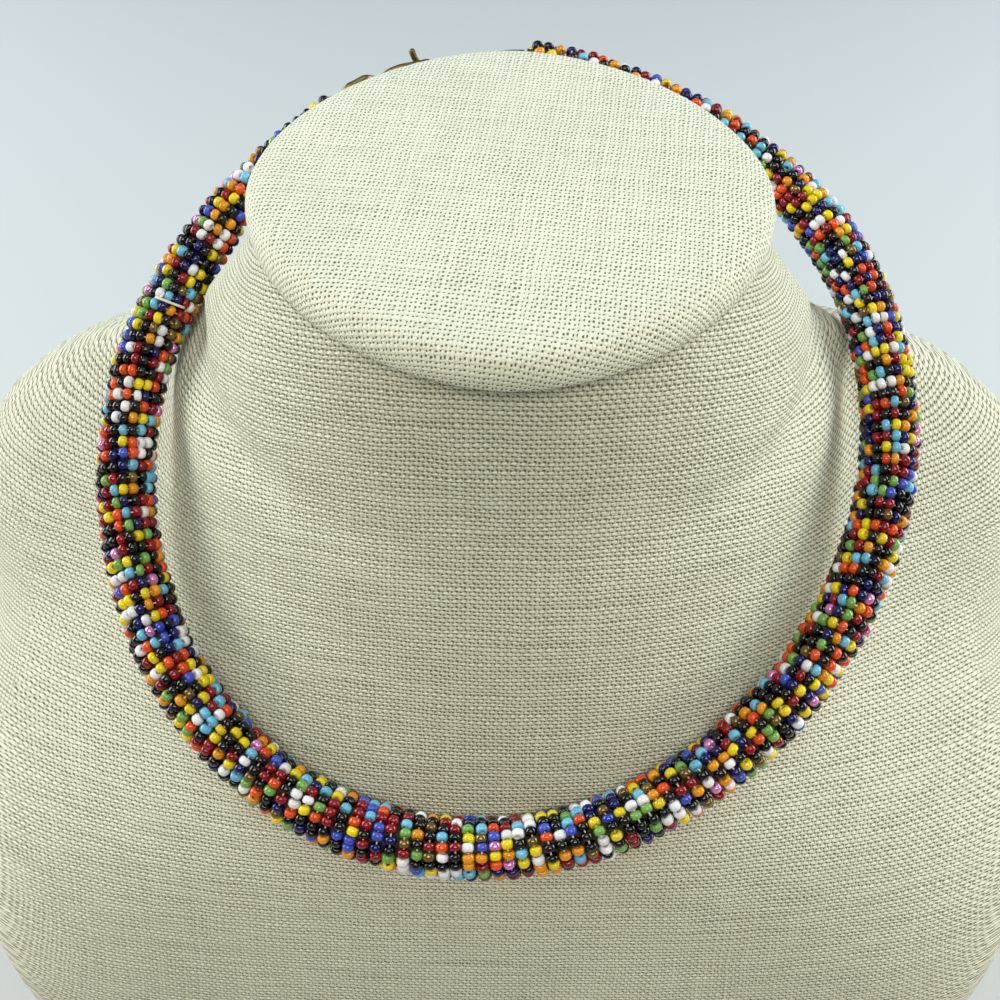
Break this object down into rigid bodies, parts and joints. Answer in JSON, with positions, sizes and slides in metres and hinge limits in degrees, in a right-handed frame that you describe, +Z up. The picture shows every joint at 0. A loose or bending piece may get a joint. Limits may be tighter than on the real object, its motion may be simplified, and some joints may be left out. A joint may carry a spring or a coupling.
{
  "type": "beaded collar necklace on a neck bust",
  "caption": "Round rope collar wound with small glass beads, thin at both ends and closed behind by a wire hook and eye, resting on a linen-covered neck bust.",
  "frame": {"origin": "middle of the footprint, on the surface that the bust stands on", "axes": "+Z up, the front of the bust and collar faces -Y, +X to the viewer's right"},
  "size_m": [0.2428, 0.1659, 0.172],
  "materials": {
    "bust_linen": "undyed plain-weave linen, stretched tight",
    "cap_linen": "undyed plain-weave linen with small gaps between the threads",
    "core_cotton": "white cotton cord",
    "bead_glass": "glossy opaque glass beads in mixed colours",
    "wire_brass": "dull tarnished brass wire"
  },
  "bodies": {
    "root": {"bust_form": "bust_linen", "neck_cap": "cap_linen", "rope_core": "core_cotton", "bead_winding": "bead_glass", "eye_wire": "wire_brass", "hook_wire": "wire_brass"}
  },
  "joints": []
}
